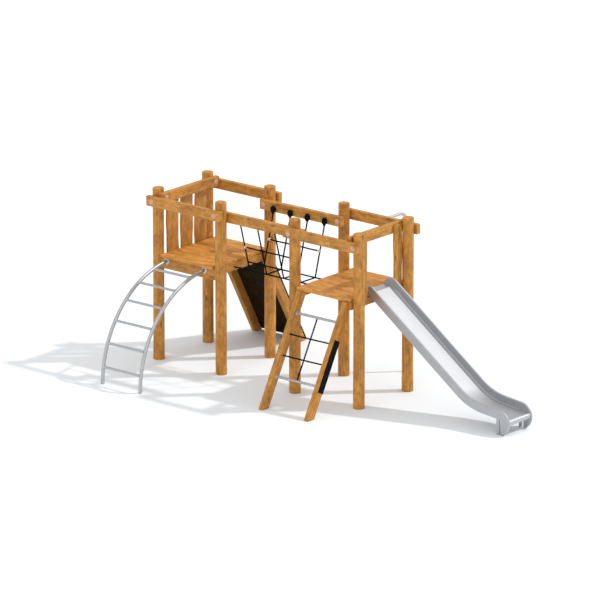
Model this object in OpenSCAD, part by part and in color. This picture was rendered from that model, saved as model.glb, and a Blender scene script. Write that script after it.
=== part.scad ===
// Two-tower timber climbing unit: two roofless decks on eight round posts, joined by a rope
// bridge, with an arch climber, a climbing wall, a rope ladder, a slide and a fireman's pole.
// All sizes are millimetres. The ground is z = 0 and the long way of the unit is X.

/* [Towers] */
// Distance between the post axes of a tower along X
tower_x = 1060; // [1000:10:1200]
// Distance between the post axes of a tower along Y
tower_y = 980; // [950:10:1100]
// Distance between the facing posts of the two towers, along X
bridge_x = 1240; // [1100:10:1400]
// Height of the posts above the ground
post_h = 2310; // [2290:10:2500]
// Diameter of the round posts
post_d = 150; // [140:2:160]
// Bevel around the top of a post
post_bevel = 10; // [4:1:15]

/* [Rails] */
// Thickness of a guard rail
rail_t = 70; // [60:1:75]
// Height of a guard rail's section
rail_h = 132; // [120:2:140]
// Length of rail beyond the axis of its post
rail_tail = 90; // [90:1:120]
// Length of bridge rail beyond the axis of its post
bridge_tail = 60; // [50:1:90]
// Height of the middle of the rails at the front and back of the towers
tower_rail_z = 2145; // [2130:1:2150]
// Height of the middle of the rails at the ends of the unit
side_rail_z = 2195; // [2190:1:2200]
// Height of the middle of the rails beside the bridge
bridge_rail_z = 2086; // [2080:1:2095]
// Depth of the flat that is cut into a post behind each rail
seat_cut = 5; // [3:1:8]

/* [Decks] */
// Height of the walking surface
deck_z = 1440; // [1430:5:1450]
// Thickness of the deck planks
plank_t = 40; // [35:1:45]
// Number of planks in one deck
plank_count = 8; // [7:1:9]
// Gap between two planks
plank_gap = 5; // [3:1:8]
// Gap between the axis of a post and the ends of the planks
plank_inset = 85; // [80:1:90]
// Thickness of the bearers under the planks
bearer_t = 45; // [40:1:45]
// Height of the bearers
bearer_h = 100; // [90:2:110]
// Height of the beam that carries the arch climber
beam_h = 150; // [140:2:160]

/* [Barrier boards] */
// Width of the boards on the closed end of the first tower
board_w = 230; // [200:2:236]
// Width of the two boards beside the slide
slide_board_w = 155; // [140:1:160]
// Thickness of the boards
board_t = 28; // [22:1:30]
// How far the natural edge of a board wanders to each side
board_wave = 7; // [2:1:9]

/* [Arch climber] */
// Radius of the arch, to the middle of its tubes
arch_r = 1358; // [1350:1:1360]
// Distance of the middle of the arch behind the front post axes
arch_y = 50; // [48:1:60]
// Position of the first tube along the front beam
arch_x = 172; // [160:1:180]
// Distance between the two tubes
arch_w = 638; // [600:1:640]
// Outer diameter of the tubes
arch_d = 48; // [42:1:50]
// Outer diameter of the rungs
rung_d = 34; // [30:1:36]
// Angle of the lowest rung above the ground
rung_start = 9.5; // [8:0.5:12]
// Angle between two rungs
rung_step = 13.1; // [12:0.1:13.4]

/* [Leaning frames] */
// Lean of the rope ladder and the climbing wall, away from upright
lean = 28.6; // [28:0.1:29]
// Distance from the post axes to the near edge of the stringers on the ground
lean_foot = 740; // [730:5:760]
// Distance between the middles of two stringers
stringer_gap = 750; // [740:1:750]
// Width of a stringer, along X
stringer_w = 70; // [60:1:70]
// Depth of a stringer, across its slope
stringer_d = 120; // [110:1:130]
// Thickness of the climbing panel
panel_t = 20; // [15:1:24]
// Diameter of a climbing hold
hold_d = 96; // [80:1:110]

/* [Ropes] */
// Diameter of all ropes
rope_d = 20; // [16:1:22]
// Height of the two ropes that are walked on
walk_z = 1350; // [1340:5:1360]
// Distance between the two ropes that are walked on
walk_w = 288; // [260:2:320]
// Distance between two hanging ropes
hang_step = 286; // [280:2:300]
// Height of the hand rope on each side of the bridge
hand_z = 1685; // [1600:5:1750]
// Height step between the rungs and ropes of the ladder
ladder_step = 250; // [240:2:255]
// Height of the lowest rung of the ladder
ladder_start = 390; // [380:5:400]

/* [Slide] */
// Overall width of the slide
slide_w = 484; // [460:2:500]
// Slope of the slide
slide_slope = 36; // [35:0.5:37]
// Slope of the run-out at the foot of the slide
runout_slope = 6; // [4:0.5:7]
// Height of the side cheeks above the sliding surface
cheek_h = 105; // [100:1:110]
// Depth of the outer cheek plate
cheek_plate = 122; // [118:1:124]
// Width of a folded cheek
cheek_w = 30; // [24:1:36]
// Thickness of the stainless sheet
sheet = 3; // [2:0.5:4]

/* [Fireman's pole] */
// Outer diameter of the pole
pole_d = 42; // [38:1:48]
// Distance from the back post axes to the pole
pole_y = 641; // [600:1:700]
// Radius of the bend at the top of the pole
pole_bend = 170; // [150:5:200]

/* [Hidden] */

timber = "#C8842F";
timber_dark = "#B57428";
steel = "#C4C8CC";
stainless = "#9BA0A6";
black = "#1C1A18";
grey = "#5C6064";

eps = 1;
post_r = post_d / 2;
seat_r = post_r - seat_cut;
edge = 7;

// post axes, with the first post of the first tower as zero
xs = [0, tower_x, tower_x + bridge_x, 2 * tower_x + bridge_x];
ys = [0, tower_y];
mid_a = tower_x / 2;
mid_b = xs[2] + tower_x / 2;
mid_bridge = xs[1] + bridge_x / 2;
mid_y = tower_y / 2;

// deck levels
plank_z = deck_z - plank_t;
bearer_z = plank_z - bearer_h / 2;
beam_z = plank_z - beam_h / 2;
board_z0 = plank_z - bearer_h + 10;
board_z1 = side_rail_z + rail_h / 2 - 20;

// fasteners
bore_d = 13;
shank_d = 12;
cap_d = 72;
screw_depth = 60;
dowel_depth = 80;
collar_d = 58;
collar_t = 6;
washer_d = 34;

// leaning frames: run(z) is the distance of the near edge of a stringer from the post axes
lean_tan = tan(lean);
stringer_h = stringer_d / cos(lean);
panel_h = panel_t / cos(lean);
panel_z0 = 20;
stringer_x = stringer_gap / 2;
function run(z) = lean_foot - lean_tan * z;
function run_mid(z) = run(z) + stringer_h / 2;

// slide outline in the XZ plane: every line is worked out from its top edge
hump_c = [xs[3] - 52, deck_z - 5];
hump_r = 126;
nose_c = [xs[3] + 2070, 155];
nose_r = 172;
fillet_r = 735;
slide_y = mid_y - slide_w / 2;
slope_n = [sin(slide_slope), cos(slide_slope)];
runout_n = [sin(runout_slope), cos(runout_slope)];
slope_k = hump_c * slope_n + hump_r + fillet_r;
runout_k = nose_c * runout_n + nose_r + fillet_r;
turn = slide_slope - runout_slope;
fillet_c = [(slope_k * cos(runout_slope) - runout_k * cos(slide_slope)) / sin(turn),
    (runout_k * sin(slide_slope) - slope_k * sin(runout_slope)) / sin(turn)];
roll_r = 40;
bed_lip = 118;
cheek_foot = 40;
leg_w = 45;
function arc(c, r, a0, a1, n) =
    [for (i = [0:n]) c + r * [cos(a0 + (a1 - a0) * i / n), sin(a0 + (a1 - a0) * i / n)]];
function slide_turns(h) = arc(fillet_c, fillet_r + h, 270 - slide_slope, 270 - runout_slope, 12);
function bed_line(h) = concat([[hump_c[0] - bed_lip, hump_c[1] + hump_r - h]],
    arc(hump_c, hump_r - h, 90, 90 - slide_slope, 6), slide_turns(h),
    arc(roll_c, roll_r + cheek_h - h, 90 - runout_slope, -90, 12));
function cheek_line(h, a0) = concat(arc(hump_c, hump_r - h, a0, 90 - slide_slope, 12),
    slide_turns(h), arc(nose_c, nose_r - h, 90 - runout_slope, nose_end, 20));
roll_c = nose_c + [115, -12] + (nose_r - cheek_h - roll_r) * runout_n;
nose_end = -asin(nose_c[1] / nose_r);
cheek_start = 180 - asin(6 / hump_r);
low_run = nose_c + (nose_r - cheek_plate) * runout_n;
leg_top = low_run[1];
leg_x = nose_c[0] - 35;

// fireman's pole
pole_z = tower_rail_z + 5;
pole_wall = 3;

// bridge ropes
hanger_r = 36;
hanger_y = 26;
hanger_drop = 88;
hang_x = [for (i = [-1.5:1:1.5]) mid_bridge + i * hang_step];
front_face = seat_r + rail_t;
back_face = tower_y - seat_r - rail_t;
walk_y = [mid_y - walk_w / 2, mid_y + walk_w / 2];
hang_top = [front_face + hanger_y, back_face - hanger_y];
hang_z = bridge_rail_z - hanger_drop;
rope_gap = 0.3;

// overall extents, which put the origin under the middle of the unit
x_min = -rail_tail;
x_max = nose_c[0] + nose_r;
y_min = arch_y - arch_r - arch_d / 2;
y_max = tower_y + max(run(0) + stringer_h, run(panel_z0) + stringer_h + panel_h);
site_shift = [-(x_min + x_max) / 2, -(y_min + y_max) / 2, 0];

module site() {
    translate(site_shift) children();
}

// straight bar along X with bevelled edges, between two corners
module bar_x(p, q, bevel = edge) {
    w = q[1] - p[1];
    h = q[2] - p[2];
    translate(p) rotate([90, 0, 90]) linear_extrude(q[0] - p[0]) polygon([[bevel, 0],
        [w - bevel, 0], [w, bevel], [w, h - bevel], [w - bevel, h], [bevel, h],
        [0, h - bevel], [0, bevel]]);
}

// straight bar along Y with bevelled edges, between two corners
module bar_y(p, q, bevel = edge) {
    w = q[0] - p[0];
    h = q[2] - p[2];
    translate([p[0], q[1], p[2]]) rotate([90, 0, 0]) linear_extrude(q[1] - p[1]) polygon([
        [bevel, 0], [w - bevel, 0], [w, bevel], [w, h - bevel], [w - bevel, h], [bevel, h],
        [0, h - bevel], [0, bevel]]);
}

// round rod between two points
module rod(p, q, d) {
    v = q - p;
    translate(p) rotate([0, acos(v[2] / norm(v)), atan2(v[1], v[0])])
        cylinder(d = d, h = norm(v), $fn = 48);
}

// shape that lies along a direction in plan, at a height on a post axis
module toward(x, y, z, dir) {
    translate([x, y, z]) rotate([0, 0, dir]) rotate([0, 90, 0]) children();
}

// round post: joints is a list of [direction, height of the middle, height of the flat], and
// each has a flat and a blind bore for the screw or dowel that holds it
module post(x, y, joints) {
    difference() {
        translate([x, y, 0]) rotate_extrude($fn = 96) polygon([[0, 0], [post_r, 0],
            [post_r, post_h - post_bevel], [post_r - post_bevel, post_h], [0, post_h]]);
        for (s = joints) toward(x, y, s[1], s[0]) {
            translate([-s[2] / 2, -post_r, seat_r]) cube([s[2], post_d, post_r]);
            translate([0, 0, seat_r - screw_depth - eps])
                cylinder(d = bore_d, h = post_r + screw_depth, $fn = 32);
        }
    }
}

// the flats and bores of each kind of joint, seen from the post
function front_rail(dir) = [dir, tower_rail_z, rail_h];
function end_rail(dir) = [dir, side_rail_z, rail_h];
function bridge_rail(dir) = [dir, bridge_rail_z, rail_h];
function bearer_joint(dir) = [dir, bearer_z, bearer_h];
function beam_joint(dir) = [dir, beam_z, beam_h];

module post_a_front_left() {
    color(timber) site() post(xs[0], ys[0], [front_rail(270), end_rail(0), beam_joint(0)]);
}

module post_a_back_left() {
    color(timber) site() post(xs[0], ys[1], [front_rail(90), end_rail(0), bearer_joint(0)]);
}

module post_a_front_right() {
    color(timber) site()
        post(xs[1], ys[0], [front_rail(270), bridge_rail(90), beam_joint(180)]);
}

module post_a_back_right() {
    color(timber) site()
        post(xs[1], ys[1], [front_rail(90), bridge_rail(270), bearer_joint(180)]);
}

module post_b_front_left() {
    color(timber) site()
        post(xs[2], ys[0], [front_rail(270), bridge_rail(90), bearer_joint(0)]);
}

module post_b_back_left() {
    color(timber) site()
        post(xs[2], ys[1], [front_rail(90), bridge_rail(270), bearer_joint(0)]);
}

module post_b_front_right() {
    color(timber) site()
        post(xs[3], ys[0], [front_rail(270), end_rail(180), bearer_joint(180)]);
}

module post_b_back_right() {
    color(timber) site()
        post(xs[3], ys[1], [front_rail(90), end_rail(180), bearer_joint(180)]);
}

// guard rail along X on one side of two posts: side is -1 for the front and 1 for the back
module rail_x(x0, x1, y, side, z, tail = rail_tail) {
    near = y + side * seat_r;
    far = near + side * rail_t;
    difference() {
        bar_x([x0 - tail, min(near, far), z - rail_h / 2],
            [x1 + tail, max(near, far), z + rail_h / 2]);
        for (x = [x0, x1]) toward(x, y, z, side * 90) cylinder(d = bore_d, h = 2 * post_d, $fn = 32);
    }
}

// guard rail along Y on one side of two posts: side is -1 or 1 along X
module rail_y(x, side, z) {
    near = x + side * seat_r;
    far = near + side * rail_t;
    difference() {
        bar_y([min(near, far), ys[0] - post_r, z - rail_h / 2],
            [max(near, far), ys[1] + post_r, z + rail_h / 2]);
        for (y = ys) toward(x, y, z, 90 - side * 90) cylinder(d = bore_d, h = 2 * post_d, $fn = 32);
    }
}

module rail_a_front() {
    color(timber) site() rail_x(xs[0], xs[1], ys[0], -1, tower_rail_z);
}

module rail_a_back() {
    color(timber) site() rail_x(xs[0], xs[1], ys[1], 1, tower_rail_z);
}

module rail_a_left() {
    color(timber) site() rail_y(xs[0], 1, side_rail_z);
}

module rail_bridge_front() {
    color(timber) site() rail_x(xs[1], xs[2], ys[0], 1, bridge_rail_z, bridge_tail);
}

module rail_bridge_back() {
    color(timber) site() rail_x(xs[1], xs[2], ys[1], -1, bridge_rail_z, bridge_tail);
}

module rail_b_front() {
    color(timber) site() rail_x(xs[2], xs[3], ys[0], -1, tower_rail_z);
}

module rail_b_back() {
    color(timber) site() rail_x(xs[2], xs[3], ys[1], 1, tower_rail_z);
}

module rail_b_right() {
    color(timber) site() rail_y(xs[3], -1, side_rail_z);
}

// bearer along Y under the planks, screwed to the posts at the given places along Y
module bearer(x, side, y0, screwed) {
    near = x + side * seat_r;
    far = near + side * bearer_t;
    difference() {
        bar_y([min(near, far), y0, plank_z - bearer_h],
            [max(near, far), ys[1] + post_r, plank_z], 4);
        for (y = screwed) toward(x, y, bearer_z, 90 - side * 90)
            cylinder(d = bore_d, h = 2 * post_d, $fn = 32);
    }
}

module bearer_a_left() {
    color(timber_dark) site() bearer(xs[0], 1, rail_t / 2, [ys[1]]);
}

module bearer_a_right() {
    color(timber_dark) site() bearer(xs[1], -1, rail_t / 2, [ys[1]]);
}

module bearer_b_left() {
    color(timber_dark) site() bearer(xs[2], 1, -post_r, ys);
}

module bearer_b_right() {
    color(timber_dark) site() bearer(xs[3], -1, -post_r, ys);
}

module beam_a_front() {
    color(timber_dark) site() difference() {
        bar_x([xs[0] + seat_r, -rail_t / 2, plank_z - beam_h],
            [xs[1] - seat_r, rail_t / 2, plank_z], 4);
        for (x = [xs[0] + seat_r, xs[1] - seat_r]) translate([x, 0, beam_z])
            rotate([0, 90, 0]) cylinder(d = bore_d, h = 2 * dowel_depth, center = true, $fn = 32);
    }
}

// deck of planks along X, each resting on both bearers
module planks(x) {
    pitch = (tower_y + post_d + plank_gap) / plank_count;
    for (i = [0:plank_count - 1]) bar_x([x + plank_inset, i * pitch - post_r, plank_z],
        [x + tower_x - plank_inset, (i + 1) * pitch - post_r - plank_gap, deck_z], 4);
}

module planks_a() {
    color(timber) site() planks(xs[0]);
}

module planks_b() {
    color(timber) site() planks(xs[2]);
}

// upright board in the YZ plane whose two long edges wander like the edges of the log
module board(x, y, w, phase) {
    n = 24;
    step = (board_z1 - board_z0) / n;
    left = [for (i = [0:n]) [y - w / 2 + board_wave * sin(i * 31 + phase), board_z0 + i * step]];
    right = [for (i = [n:-1:0])
        [y + w / 2 + board_wave * sin(i * 27 + 2 * phase), board_z0 + i * step]];
    translate([x, 0, 0]) rotate([90, 0, 90]) linear_extrude(board_t)
        polygon(concat(left, right));
}

module board_a_1() {
    color(timber_dark) site() board(xs[0] + seat_r - board_t, mid_y - board_w - 48, board_w, 20);
}

module board_a_2() {
    color(timber_dark) site() board(xs[0] + seat_r - board_t, mid_y, board_w, 110);
}

module board_a_3() {
    color(timber_dark) site() board(xs[0] + seat_r - board_t, mid_y + board_w + 48, board_w, 215);
}

module board_b_1() {
    color(timber_dark) site()
        board(xs[3] - seat_r, post_r + slide_board_w / 2 - 10, slide_board_w, 60);
}

module board_b_2() {
    color(timber_dark) site()
        board(xs[3] - seat_r, tower_y - post_r - slide_board_w / 2 + 10, slide_board_w, 160);
}

// coach screw with a wide domed cap that sits on the outer face of a rail
module coach_screw() {
    rotate_extrude($fn = 48) polygon([[0, -rail_t - screw_depth], [shank_d / 2, 6 - rail_t
        - screw_depth], [shank_d / 2, 0], [cap_d / 2, 0], [cap_d / 2, 4], [cap_d / 2 - 5, 8],
        [cap_d / 4, 11], [0, 12]]);
}

// one screw through a rail into its post
module rail_screw(x, y, z, dir) {
    toward(x, y, z, dir) translate([0, 0, seat_r + rail_t]) coach_screw();
}

module rail_screws() {
    color(grey) site() {
        for (x = xs) {
            rail_screw(x, ys[0], tower_rail_z, 270);
            rail_screw(x, ys[1], tower_rail_z, 90);
        }
        for (x = [xs[1], xs[2]]) {
            rail_screw(x, ys[0], bridge_rail_z, 90);
            rail_screw(x, ys[1], bridge_rail_z, 270);
        }
        for (y = ys) {
            rail_screw(xs[0], y, side_rail_z, 0);
            rail_screw(xs[3], y, side_rail_z, 180);
        }
    }
}

// coach screw from the inner face of a bearer into a post
module deck_screw(x, y, dir) {
    toward(x, y, bearer_z, dir) translate([0, 0, seat_r + bearer_t]) {
        translate([0, 0, -bearer_t - screw_depth])
            cylinder(d = shank_d, h = bearer_t + screw_depth + eps, $fn = 32);
        cylinder(d = washer_d, h = 3, $fn = 48);
        translate([0, 0, 3]) cylinder(d = 22, h = 8, $fn = 6);
    }
}

// steel dowel between a post and an end of the front beam
module beam_dowel(x, dir) {
    toward(x, ys[0], beam_z, dir) translate([0, 0, seat_r - screw_depth])
        cylinder(d = shank_d, h = screw_depth + dowel_depth - 2, $fn = 32);
}

module deck_screws() {
    color(steel) site() {
        for (j = [[0, 1, 0], [1, 1, 180], [2, 0, 0], [2, 1, 0], [3, 0, 180], [3, 1, 180]])
            deck_screw(xs[j[0]], ys[j[1]], j[2]);
        beam_dowel(xs[0], 0);
        beam_dowel(xs[1], 180);
    }
}

// quarter arch in the YZ plane, from the ground to the front beam
module arch_ring(x, d) {
    top = acos((arch_y + rail_t / 2 + 8) / arch_r);
    translate([x, arch_y, 0]) rotate([90, 0, -90])
        rotate_extrude(angle = top, $fn = 128) translate([arch_r, 0]) circle(d = d, $fn = 48);
}

module arch_tube(x) {
    difference() {
        arch_ring(x, arch_d);
        arch_ring(x, arch_d - 6);
    }
}

module arch_tube_left() {
    color(steel) site() arch_tube(arch_x);
}

module arch_tube_right() {
    color(steel) site() arch_tube(arch_x + arch_w);
}

module arch_rungs() {
    color(steel) site() difference() {
        for (i = [0:5]) {
            a = rung_start + i * rung_step;
            y = arch_y - arch_r * cos(a);
            z = arch_r * sin(a);
            rod([arch_x, y, z], [arch_x + arch_w, y, z], rung_d);
        }
        for (x = [arch_x, arch_x + arch_w]) arch_ring(x, arch_d + 2 * rope_gap);
    }
}

module arch_flanges() {
    top = sqrt(arch_r * arch_r - pow(arch_y + rail_t / 2, 2));
    color(steel) site() for (x = [arch_x, arch_x + arch_w])
        translate([x, -rail_t / 2, top]) rotate([90, 0, 0])
            cylinder(d = 84, h = 7, $fn = 64);
}

// leaning stringer, cut level at the ground and under the planks: side is 1 for the back
module stringer(x, y, side) {
    top = plank_z;
    translate([x - stringer_w / 2, 0, 0]) rotate([90, 0, 90]) linear_extrude(stringer_w)
        polygon([[y + side * run(0), 0], [y + side * (run(0) + stringer_h), 0],
            [y + side * (run(top) + stringer_h), top], [y + side * run(top), top]]);
}

module wall_stringer_left() {
    color(timber_dark) site() stringer(mid_a - stringer_x, ys[1], 1);
}

module wall_stringer_right() {
    color(timber_dark) site() stringer(mid_a + stringer_x, ys[1], 1);
}

module wall_panel() {
    w = stringer_gap + stringer_w;
    near = ys[1] + stringer_h;
    color(black) site() translate([mid_a - w / 2, 0, 0]) rotate([90, 0, 90])
        linear_extrude(w) polygon([[near + run(panel_z0), panel_z0],
            [near + run(panel_z0) + panel_h, panel_z0], [near + run(plank_z) + panel_h, plank_z],
            [near + run(plank_z), plank_z]]);
}

// rounded climbing hold, flat side on the panel
module hold(x, z, d) {
    translate([x, ys[1] + run(z) + stringer_h + panel_h, z]) rotate([lean - 90, 0, 0])
        rotate_extrude($fn = 48) polygon([[0, 0], [d / 2, 0], [d / 2 - 3, 14], [d / 3, 34],
            [d / 5, 42], [0, 44]]);
}

module wall_holds() {
    color(grey) site() for (i = [0:4], j = [0:1])
        hold(mid_a - 215 + j * 330 + (i % 2) * 100, 230 + i * 245, hold_d - 12 * ((i + j) % 2));
}

// egg-shaped rope hanger on the inner face of a bridge rail: side points to the walkway
module hanger(x, face, side) {
    difference() {
        translate([x, face + side * hanger_y, bridge_rail_z]) rotate_extrude($fn = 48) polygon([
            [0, -hanger_drop], [12, -hanger_drop], [15, -76], [28, -58], [hanger_r, -36],
            [hanger_r, -14], [29, 6], [18, 20], [0, 26]]);
        translate([x - 60, face - side * 60 - 60, bridge_rail_z - 100]) cube([120, 120, 200]);
    }
}

module net_hangers_front() {
    color(black) site() for (x = hang_x) hanger(x, front_face, 1);
}

module net_hangers_back() {
    color(black) site() for (x = hang_x) hanger(x, back_face, -1);
}

// point of hanging rope i (0 front, 1 back) at a height
function hang_at(x, i, z) =
    [x, hang_top[i] + (walk_y[i] - hang_top[i]) * (hang_z - z) / (hang_z - walk_z), z];
hand_clear = rope_d / 2 + rope_gap;

module hanging_ropes(i) {
    for (x = hang_x) rod(hang_at(x, i, walk_z + 1.2 * hand_clear), hang_at(x, i, hang_z), rope_d);
}

module net_hanging_front() {
    color(black) site() hanging_ropes(0);
}

module net_hanging_back() {
    color(black) site() hanging_ropes(1);
}

// hand rope, threaded through the four hanging ropes
module hand_rope(i) {
    y = hang_at(0, i, hand_z)[1];
    for (k = [0:2]) rod([hang_x[k] + hand_clear, y, hand_z],
        [hang_x[k + 1] - hand_clear, y, hand_z], rope_d);
}

module net_hand_front() {
    color(black) site() hand_rope(0);
}

module net_hand_back() {
    color(black) site() hand_rope(1);
}

// walked-on rope from the bearer of one deck to the bearer of the other
module walk_rope(i) {
    rod([xs[1] - seat_r, walk_y[i], walk_z], [xs[2] + seat_r, walk_y[i], walk_z], rope_d);
}

module net_walk_front() {
    color(black) site() walk_rope(0);
}

module net_walk_back() {
    color(black) site() walk_rope(1);
}

module net_cross_ropes() {
    color(black) site() for (x = hang_x) rod([x, walk_y[0] + hand_clear, walk_z],
        [x, walk_y[1] - hand_clear, walk_z], rope_d);
}

// aluminium tee around the end of a hand rope and its hanging rope: side points to the sleeve
module tee(x, i, side) {
    y = hang_at(0, i, hand_z)[1];
    difference() {
        union() {
            rod(hang_at(x, i, hand_z - 17), hang_at(x, i, hand_z + 17), rope_d + 11);
            translate([x + side * 18, y, hand_z]) rotate([0, 90, 0])
                cylinder(d = rope_d + 8, h = 30, center = true, $fn = 48);
        }
        rod(hang_at(x, i, hand_z - 60), hang_at(x, i, hand_z + 60), rope_d + 2 * rope_gap);
        translate([x + side * 24, y, hand_z]) rotate([0, 90, 0])
            cylinder(d = rope_d + 2 * rope_gap, h = 48, center = true, $fn = 48);
    }
}

module net_clamps() {
    color(steel) site() for (i = [0, 1]) {
        tee(hang_x[0], i, 1);
        tee(hang_x[3], i, -1);
    }
}

// stringer of the rope ladder, bored for the two rungs and the two ropes
module ladder_stringer(x) {
    difference() {
        stringer(x, ys[0], -1);
        for (i = [0:3]) {
            z = ladder_start + i * ladder_step;
            d = (i == 0 || i == 3) ? rung_d : rope_d;
            translate([x, -run_mid(z), z]) rotate([0, 90, 0])
                cylinder(d = d + 2 * rope_gap, h = 2 * stringer_w, center = true, $fn = 48);
        }
    }
}

module ladder_stringer_left() {
    color(timber) site() ladder_stringer(mid_b - stringer_x);
}

module ladder_stringer_right() {
    color(timber) site() ladder_stringer(mid_b + stringer_x);
}

// rod along X through both stringers at a height
module ladder_rod(z, d) {
    reach = stringer_x + stringer_w / 2 - 1;
    rod([mid_b - reach, -run_mid(z), z], [mid_b + reach, -run_mid(z), z], d);
}

// steel rung with a welded collar against the inner face of each stringer
module ladder_rung(z) {
    inner = stringer_x - stringer_w / 2;
    ladder_rod(z, rung_d);
    for (side = [-1, 1]) translate([mid_b + side * (inner - collar_t / 2), -run_mid(z), z])
        rotate([0, 90, 0]) cylinder(d = collar_d, h = collar_t, center = true, $fn = 64);
}

module ladder_rungs() {
    color(steel) site() for (i = [0, 3]) ladder_rung(ladder_start + i * ladder_step);
}

module ladder_ropes() {
    color(black) site() for (i = [1, 2]) ladder_rod(ladder_start + i * ladder_step, rope_d);
}

// rope up the middle of the ladder, threaded through the two ropes
module ladder_middle_rope() {
    clear = [rung_d / 2, rope_d / 2, rope_d / 2, rung_d / 2];
    color(black) site() for (i = [0:2]) {
        z0 = ladder_start + i * ladder_step + (clear[i] + rope_gap) * cos(lean);
        z1 = ladder_start + (i + 1) * ladder_step - (clear[i + 1] + rope_gap) * cos(lean);
        rod([mid_b, -run_mid(z0), z0], [mid_b, -run_mid(z1), z1], rope_d);
    }
}

// cover strips over the rope ends on the outer faces of the ladder stringers
module ladder_covers() {
    z = ladder_start + ladder_step;
    color(black) site() for (side = [-1, 1])
        translate([mid_b + side * (stringer_x + stringer_w / 2 + 5), -run_mid(z), z - 10])
            rotate([-lean, 0, 0]) cube([10, 104, 700], center = true);
}

// strip of sheet that follows a line, given its two edges in the XZ plane
module strip(upper, lower, y0, w) {
    n = len(lower);
    translate([0, y0 + w, 0]) rotate([90, 0, 0]) linear_extrude(w)
        polygon(concat(upper, [for (i = [n - 1:-1:0]) lower[i]]));
}

module slide_bed() {
    color(stainless) site() strip(bed_line(cheek_h), bed_line(cheek_h + sheet),
        slide_y + cheek_w, slide_w - 2 * cheek_w);
}

// outline of a cheek plate, from the deck to its foot on the ground
cheek_outline = concat(cheek_line(0, cheek_start),
    [[nose_c[0] + cheek_foot, 0], [nose_c[0] + cheek_foot, leg_top]],
    [low_run], [for (i = [12:-1:0]) slide_turns(cheek_plate)[i]],
    [[hump_c[0] - 2, deck_z + 1]]);

// folded cheek: an outer and an inner plate joined along the top
module cheek(y0) {
    for (y = [y0, y0 + cheek_w - sheet]) translate([0, y + sheet, 0]) rotate([90, 0, 0])
        linear_extrude(sheet) polygon(cheek_outline);
    strip(cheek_line(0, cheek_start), cheek_line(sheet, cheek_start), y0, cheek_w);
}

module slide_cheek_left() {
    color(stainless) site() cheek(slide_y);
}

module slide_cheek_right() {
    color(stainless) site() cheek(slide_y + slide_w - cheek_w);
}

module slide_legs() {
    color(stainless) site() for (y = [slide_y, slide_y + slide_w - cheek_w])
        translate([leg_x, y, 0]) cube([leg_w, cheek_w, leg_top - 2]);
}

// pole in the YZ plane: arm from the back rail, bend and upright
module pole_bar(d, extra) {
    y0 = tower_y + seat_r + rail_t + 8;
    y1 = tower_y + pole_y;
    union() {
        translate([mid_b, y0 - extra, pole_z]) rotate([-90, 0, 0])
            cylinder(d = d, h = y1 - pole_bend - y0 + extra, $fn = 48);
        translate([mid_b, y1 - pole_bend, pole_z - pole_bend]) rotate([90, 0, 90])
            rotate_extrude(angle = 90, $fn = 96) translate([pole_bend, 0]) circle(d = d, $fn = 48);
        translate([mid_b, y1, -extra])
            cylinder(d = d, h = pole_z - pole_bend + extra, $fn = 48);
    }
}

module pole_tube() {
    color(steel) site() difference() {
        pole_bar(pole_d, 0);
        pole_bar(pole_d - 2 * pole_wall, eps);
    }
}

module pole_flange() {
    color(steel) site() translate([mid_b, tower_y + seat_r + rail_t, pole_z])
        rotate([-90, 0, 0]) cylinder(d = 90, h = 8, $fn = 64);
}

post_a_front_left();
post_a_back_left();
post_a_front_right();
post_a_back_right();
post_b_front_left();
post_b_back_left();
post_b_front_right();
post_b_back_right();
rail_a_front();
rail_a_back();
rail_a_left();
rail_bridge_front();
rail_bridge_back();
rail_b_front();
rail_b_back();
rail_b_right();
bearer_a_left();
bearer_a_right();
bearer_b_left();
bearer_b_right();
beam_a_front();
planks_a();
planks_b();
board_a_1();
board_a_2();
board_a_3();
board_b_1();
board_b_2();
rail_screws();
deck_screws();
arch_tube_left();
arch_tube_right();
arch_rungs();
arch_flanges();
wall_stringer_left();
wall_stringer_right();
wall_panel();
wall_holds();
net_hangers_front();
net_hangers_back();
net_hanging_front();
net_hanging_back();
net_hand_front();
net_hand_back();
net_walk_front();
net_walk_back();
net_cross_ropes();
net_clamps();
ladder_stringer_left();
ladder_stringer_right();
ladder_rungs();
ladder_ropes();
ladder_middle_rope();
ladder_covers();
slide_bed();
slide_cheek_left();
slide_cheek_right();
slide_legs();
pole_tube();
pole_flange();
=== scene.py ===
# %% [markdown]
# # A timber climbing unit with two towers
# This lesson dresses a finished CAD frame of a playground unit. Each post, board, rope and sheet
# is a surface worked out with numpy, so that one formula gives the whole piece, and each
# finish is a small tree of shader nodes. The posts' places are read from the frame, and the other
# sizes are the CAD's own, in metres.

# %% Load the frame
import itertools
import math

import bpy
import numpy as np
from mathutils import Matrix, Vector


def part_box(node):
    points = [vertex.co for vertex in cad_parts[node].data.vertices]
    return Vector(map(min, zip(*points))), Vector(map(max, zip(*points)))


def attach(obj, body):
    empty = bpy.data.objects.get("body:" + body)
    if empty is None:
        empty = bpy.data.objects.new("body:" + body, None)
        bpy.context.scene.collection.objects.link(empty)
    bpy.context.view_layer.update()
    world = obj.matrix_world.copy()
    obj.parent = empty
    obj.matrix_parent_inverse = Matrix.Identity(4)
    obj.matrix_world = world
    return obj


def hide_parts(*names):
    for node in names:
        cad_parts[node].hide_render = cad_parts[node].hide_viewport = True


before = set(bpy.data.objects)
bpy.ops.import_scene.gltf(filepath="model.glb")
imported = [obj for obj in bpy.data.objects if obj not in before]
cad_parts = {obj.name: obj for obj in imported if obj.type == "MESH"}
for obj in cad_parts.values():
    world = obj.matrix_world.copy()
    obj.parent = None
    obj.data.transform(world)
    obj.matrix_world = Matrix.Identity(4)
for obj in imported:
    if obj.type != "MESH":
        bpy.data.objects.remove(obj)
scene = bpy.context.scene
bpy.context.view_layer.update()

# %% [markdown]
# The unit was laid out from the axis of its first post, so the lesson keeps that corner as a
# zero of its own. `origin` is where that axis stands in the frame, and every piece adds it once,
# when its mesh is made.

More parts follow.
